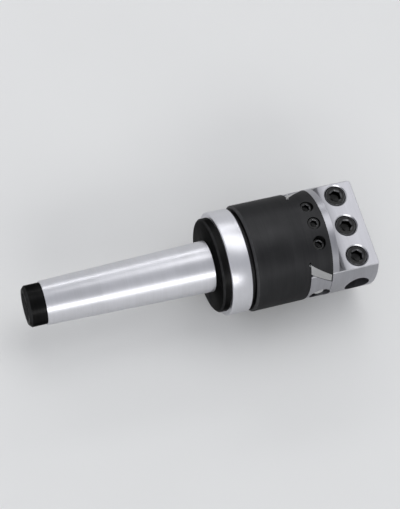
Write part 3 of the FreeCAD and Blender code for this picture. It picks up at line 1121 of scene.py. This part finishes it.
@dataclass
class FeedScrew:
    """Feed screw turned in one piece with its graduated dial."""

    # Places along y where the feed thread begins and ends, and the plain length behind it
    shoulder: float = -12.5 * MM
    rear_relief: float = 4.3 * MM
    journal: float = 13.2 * MM
    runout: float = 0.1 * MM
    dial_thickness: float = 6.2 * MM
    dial_radius: float = 7.2 * MM
    bevel: float = 1.6 * MM
    ease: float = 0.08 * MM
    socket: HexSocket = HexSocket(flats=4.0 * MM, depth=3.4 * MM)
    socket_land: float = 2.8 * MM
    rear_chamfer: float = 0.4 * MM
    feed_thread: Thread = Thread(pitch=1.0 * MM, major=4.0 * MM)
    rear_thread: Thread = Thread(pitch=0.5 * MM, major=2.5 * MM)
    divisions: int = 50
    numbered_every: int = 10
    # Share of the bevel that every tenth, every fifth and every other line crosses
    reaches: tuple[tuple[int, float], ...] = ((10, 0.94), (5, 0.75), (1, 0.52))
    mark_inset: float = 0.03
    mark_width: float = 0.12 * MM
    mark_proud: float = 0.012 * MM
    mark_sunk: float = 0.03 * MM
    number_height: float = 1.25 * MM
    digit_share: float = 0.7
    number_radius: float = 4.35 * MM
    columns: int = 120

    def __post_init__(self) -> None:
        """Takes the ends and the axis from the node that the screw stands for."""
        low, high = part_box("feed_screw")
        self.rear_end, self.dial_face = low.y, high.y
        self.base = Vector(((low.x + high.x) / 2.0, 0.0, (low.z + high.z) / 2.0))

    def rings(self) -> list[Ring]:
        """Rings of the screw and its dial.

        Returns:
            Its rings from the rear end to the floor of the socket.
        """
        def rear_envelope(height: float) -> float:
            """Largest radius of the rear end at a height."""
            return self.rear_thread.major - max(self.rear_end + self.rear_chamfer - height, 0.0)

        relief = self.shoulder - self.rear_relief
        rear_radius = self.rear_thread.major
        feed_radius = self.feed_thread.major
        dial_back = self.dial_face - self.dial_thickness
        rings = threaded(self.rear_thread, self.rear_end, relief - self.runout, rear_envelope)
        rings += [Ring.plain(relief, rear_radius), Ring.plain(self.shoulder, rear_radius)]
        rings += threaded(self.feed_thread, self.shoulder, self.journal, lambda _height: feed_radius)
        rings += eased([
            (self.journal + self.runout, feed_radius),
            (dial_back, feed_radius),
            (dial_back, self.dial_radius),
            (self.dial_face - self.bevel, self.dial_radius),
            (self.dial_face, self.dial_radius - self.bevel),
            (self.dial_face, self.socket_land),
        ], self.ease)
        return rings + self.socket.rings(self.dial_face)

    def reach(self, index: int) -> float:
        """Share of the bevel that a line of the dial crosses."""
        return next(share for every, share in self.reaches if index % every == 0)

    def graduation(self, index: int) -> list[tuple[float, float, float]]:
        """Corners of one line across the bevel.

        Args:
            index: its number.

        Returns:
            Eight corners, four above the bevel and four under it.
        """
        # The bevel stands at 45 degrees, so a lift goes as far outward as along the axis
        slant = math.sqrt(0.5)
        near, far = self.mark_inset, self.mark_inset + self.reach(index)
        angle = TURN * index / self.divisions
        corners = []
        for lift in (self.mark_proud * slant, -self.mark_sunk * slant):
            for share, side in ((near, -0.5), (near, 0.5), (far, 0.5), (far, -0.5)):
                radius = self.dial_radius - self.bevel * share + lift
                height = self.dial_face - self.bevel * (1.0 - share) + lift
                turned = angle + side * self.mark_width / radius
                corners.append((radius * math.cos(turned), radius * math.sin(turned), height))
        return corners

    def number(self, index: int) -> bpy.types.Mesh:
        """Plain number on the dial's face, read from outside.

        Args:
            index: the graduation that it stands by.

        Returns:
            Its mesh, in the dial's own frame.
        """
        curve = bpy.data.curves.new("number", "FONT")
        curve.body = str(index)
        curve.size = self.number_height / self.digit_share
        curve.extrude = self.mark_proud
        curve.align_x, curve.align_y = "CENTER", "CENTER"
        holder = bpy.data.objects.new("number", curve)
        bpy.context.scene.collection.objects.link(holder)
        bpy.context.view_layer.update()
        mesh = bpy.data.meshes.new_from_object(holder)
        bpy.data.objects.remove(holder)
        mesh.transform(Matrix.Rotation(TURN * index / self.divisions, 4, "Z")
                       @ Matrix.Translation((self.number_radius, 0.0, self.dial_face))
                       @ Matrix.Rotation(-TURN / 4.0, 4, "Z"))
        return mesh

    def numbers(self) -> bpy.types.Mesh:
        """All the numbers of the dial.

        Returns:
            Their mesh, in the dial's own frame.
        """
        work = bmesh.new()
        for index in range(0, self.divisions, self.numbered_every):
            mesh = self.number(index)
            work.from_mesh(mesh)
            bpy.data.meshes.remove(mesh)
        return finished_mesh("dial_numbers", work)

    def build(self, wardrobe: Wardrobe) -> list[bpy.types.Object]:
        """Makes the screw, and the lines and numbers of its dial with zero at the index mark.

        Args:
            wardrobe: the finishes.

        Returns:
            All of its pieces.
        """
        screw = stand(turned_mesh("dial_feed_screw", self.rings(), self.columns), self.base, Axis.Y)
        pieces = [wardrobe.settle(screw, Skin.DIAL, "feed", node="feed_screw")]
        lines = slab_mesh("dial_graduations", [self.graduation(index) for index in range(self.divisions)])
        for mesh in (lines, self.numbers()):
            mark = stand(mesh, self.base, Axis.Y, TURN / 4.0)
            pieces.append(wardrobe.settle(mark, Skin.INK, "feed"))
        return pieces


@dataclass
class FeedNuts:
    """Thin nuts that take up the screw's end play, and the bronze nut with the screw that holds it."""

    flats: float = 8.0 * MM
    bore_radius: float = 2.52 * MM
    face_share: float = 0.95
    chamfer_slope: float = math.tan(math.radians(30.0))
    chamfer_steps: int = 5
    columns: int = 72
    # Node and spin, in degrees, of each thin nut
    spins: tuple[tuple[str, float], ...] = (("lock_nut", 11.0), ("jam_nut", 34.0))

    def rings(self, thickness: float) -> list[Ring]:
        """Rings round the section of a chamfered hexagon nut.

        Args:
            thickness: its thickness.

        Returns:
            Its rings from the bore's near end, round the outside, to its far end.
        """
        face_radius = self.flats / 2.0 * self.face_share
        rise = self.flats / math.sqrt(3.0) - face_radius
        rings = [Ring.plain(0.0, self.bore_radius)]
        for step in range(self.chamfer_steps + 1):
            out = rise * step / self.chamfer_steps
            rings.append(Ring.hexagon(out * self.chamfer_slope, self.flats, face_radius + out))
        return rings + [Ring(thickness - ring.height, ring.radius) for ring in reversed(rings)]

    def build(self, wardrobe: Wardrobe) -> list[bpy.types.Object]:
        """Makes both thin nuts where their nodes stand, and dresses the bronze nut and its screw.

        Args:
            wardrobe: the finishes.

        Returns:
            All of its pieces.
        """
        pieces = []
        for node, spin in self.spins:
            low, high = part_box(node)
            base = Vector(((low.x + high.x) / 2.0, low.y, (low.z + high.z) / 2.0))
            mesh = turned_mesh(f"{node}_chamfered", self.rings(high.y - low.y), self.columns, looped=True)
            piece = stand(mesh, base, Axis.Y, math.radians(spin))
            pieces.append(wardrobe.settle(piece, Skin.NUT, "feed", node=node))
        pieces.append(wardrobe.dress_node("feed_nut", Skin.BRONZE))
        pieces.append(wardrobe.dress_node("nut_cap_screw", Skin.CAP_SCREW))
        return pieces


@dataclass(frozen=True)
class Softbox:
    """Rectangular lamp aimed at the head, in metres and watts."""

    name: str
    spot: tuple[float, float, float]
    size: tuple[float, float]
    power: float

    def build(self) -> None:
        """Makes the lamp."""
        lamp = bpy.data.lights.new(self.name, "AREA")
        lamp.shape = "RECTANGLE"
        lamp.size, lamp.size_y = self.size
        lamp.energy = self.power
        holder = bpy.data.objects.new(self.name, lamp)
        bpy.context.scene.collection.objects.link(holder)
        holder.location = self.spot
        holder.rotation_euler = (-Vector(self.spot)).to_track_quat("-Z", "Y").to_euler()


@dataclass
class Studio:
    """Pale floor, soft lamps, plain surroundings and the camera of the photograph."""

    floor_size: float = 6.0
    floor_colour: Colour = (0.8, 0.8, 0.79, 1.0)
    floor_shade: Colour = (0.78, 0.78, 0.77, 1.0)
    floor_rough: float = 0.7
    floor_spread: float = 6.0
    horizon: Colour = (0.68, 0.69, 0.71, 1.0)
    zenith: Colour = (0.56, 0.57, 0.6, 1.0)
    zenith_from: float = 0.9
    # Focal length in millimetres, place in metres, and turns about x, y and z in degrees
    lens: float = 101.52
    eye: tuple[float, float, float] = (-0.162586, -0.216912, 0.599769)
    turns: tuple[float, float, float] = (23.3408, -8.84597, -16.97505)
    lamps: tuple[Softbox, ...] = (
        Softbox("overhead_softbox", (0.5, 0.66, 1.75), (1.7, 1.1), 8.5),
        Softbox("front_softbox", (-0.3, -1.5, 0.85), (1.5, 0.45), 7.0),
        Softbox("rear_strip", (0.1, 1.5, 0.95), (1.6, 0.18), 3.0),
    )

    def floor(self, groups: Groups) -> None:
        """Makes the floor that the head lies on.

        Args:
            groups: the shared effects.
        """
        half = self.floor_size / 2.0
        mesh = bpy.data.meshes.new("studio_floor")
        around = ((-half, -half), (half, -half), (half, half), (-half, half))
        corners = [(x, y, cad_low.z) for x, y in around]
        mesh.from_pydata(corners, [], [(0, 1, 2, 3)])
        material = bpy.data.materials.new("pale_floor")
        material.use_nodes = True
        sheet = Sheet(material.node_tree)
        shader = material.node_tree.nodes["Principled BSDF"]
        shader.inputs["Roughness"].default_value = self.floor_rough
        place = sheet.join(*sheet.coordinates("Object", Axis.Z))
        smudge = sheet.call(groups.handling, Vector=place, Spread=self.floor_spread)["Smudge"]
        sheet.feed(shader.inputs["Base Color"], sheet.mix(smudge, self.floor_colour, self.floor_shade))
        mesh.materials.append(material)
        stand(mesh, Vector((0.0, 0.0, 0.0)), Axis.Z)

    def surroundings(self) -> None:
        """Sets a pale world, a little darker overhead."""
        world = bpy.data.worlds.new("studio_world")
        bpy.context.scene.world = world
        world.use_nodes = True
        sheet = Sheet(world.node_tree)
        height = sheet.coordinates("Generated", Axis.Z)[2]
        rise = sheet.remap(height, span=(0.0, self.zenith_from))
        sky = sheet.mix(rise, self.horizon, self.zenith)
        sheet.feed(world.node_tree.nodes["Background"].inputs["Color"], sky)

    def camera(self) -> None:
        """Puts the camera at the photograph's viewing angle."""
        camera = bpy.data.cameras.new("photograph_view")
        camera.lens = self.lens
        holder = bpy.data.objects.new("photograph_view", camera)
        bpy.context.scene.collection.objects.link(holder)
        turns = Euler([math.radians(angle) for angle in self.turns], "XYZ")
        holder.matrix_world = Matrix.LocRotScale(Vector(self.eye), turns, None)
        bpy.context.scene.camera = holder

    def build(self, groups: Groups) -> None:
        """Builds the whole studio.

        Args:
            groups: the shared effects.
        """
        self.floor(groups)
        self.surroundings()
        for lamp in self.lamps:
            lamp.build()
        self.camera()
        bpy.context.scene.view_settings.view_transform = "Standard"


def main() -> None:
    """Builds the sub-assemblies in order, then the studio, and reports each piece."""
    logging.basicConfig(level=logging.INFO, format="%(message)s")
    groups = Groups.build()
    wardrobe = Wardrobe(groups)
    for assembly in (TaperShank(), HeadBody(), BarSlide(), FeedScrew(), FeedNuts()):
        for piece in assembly.build(wardrobe):
            finish = piece.material_slots[0].material.name
            logging.info("%s: %s wears %s", type(assembly).__name__, piece.name, finish)
    Studio().build(groups)


if __name__ == "__main__":
    main()
